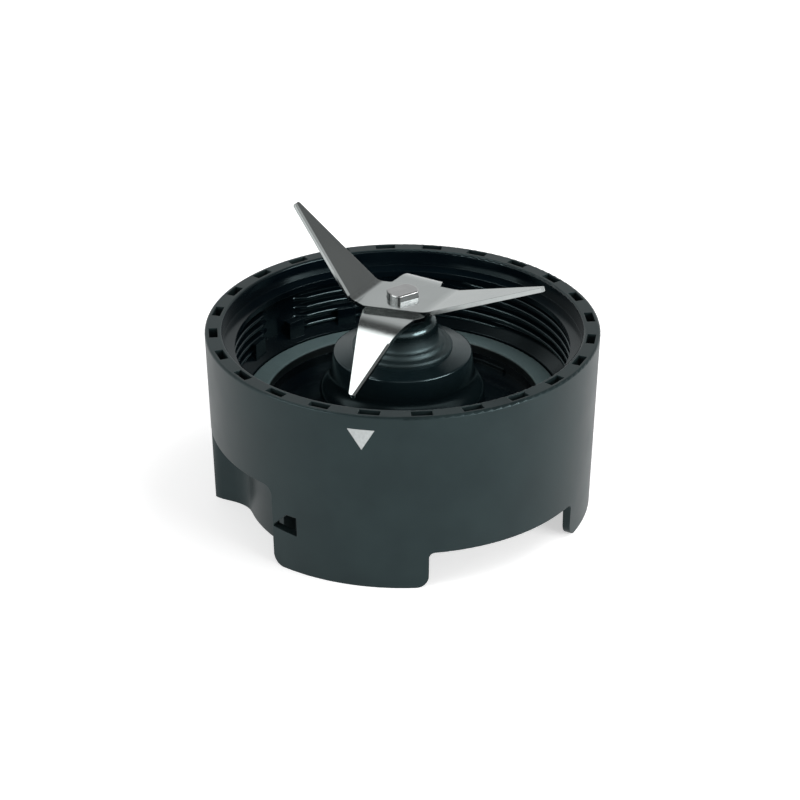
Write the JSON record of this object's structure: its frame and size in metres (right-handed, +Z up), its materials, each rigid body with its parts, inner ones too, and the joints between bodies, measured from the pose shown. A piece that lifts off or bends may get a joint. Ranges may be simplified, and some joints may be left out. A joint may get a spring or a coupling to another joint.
{
  "type": "blender blade assembly",
  "caption": "Blender blade assembly: a black collar with a jug thread, feet and bayonet recesses, and a bent steel cutter on a sealed hub.",
  "frame": {"origin": "on the spin axis, in the plane that the feet stand on", "axes": "+Z up along the spin axis, towards the jug; -Y towards the pointer mark on the collar's front"},
  "size_m": [0.1, 0.1, 0.0783],
  "materials": {
    "collar_plastic": "fine satin moulded black",
    "hub_plastic": "polished black",
    "coupling_plastic": "plain moulded black",
    "seal_rubber": "matte grey",
    "black_rubber": "matte black",
    "bronze": "sintered",
    "shaft_steel": "ground bright",
    "blade_steel": "finely brushed",
    "mark_paint": "pale printed mark"
  },
  "bodies": {
    "base": {"collar": "collar_plastic", "jug_seal": "seal_rubber", "hub_housing": "hub_plastic", "hub_seal": "black_rubber", "hub_ring_nut": "hub_plastic", "bearing_cap": "hub_plastic", "shaft_seal": "black_rubber", "upper_bush": "bronze", "lower_bush": "bronze"},
    "rotor": {"drive_shaft": "shaft_steel", "thrust_washer": "shaft_steel", "retaining_ring": "shaft_steel", "drive_coupling": "coupling_plastic", "coupling_washer": "shaft_steel", "coupling_nut": "shaft_steel", "lower_blade": "blade_steel", "upper_blade": "blade_steel"}
  },
  "joints": [
    {"name": "blade_spin", "type": "hinge", "parent": "base", "child": "rotor", "pos_m": [0, 0, 0.03], "axis": [0, 0, 1], "continuous": true}
  ]
}
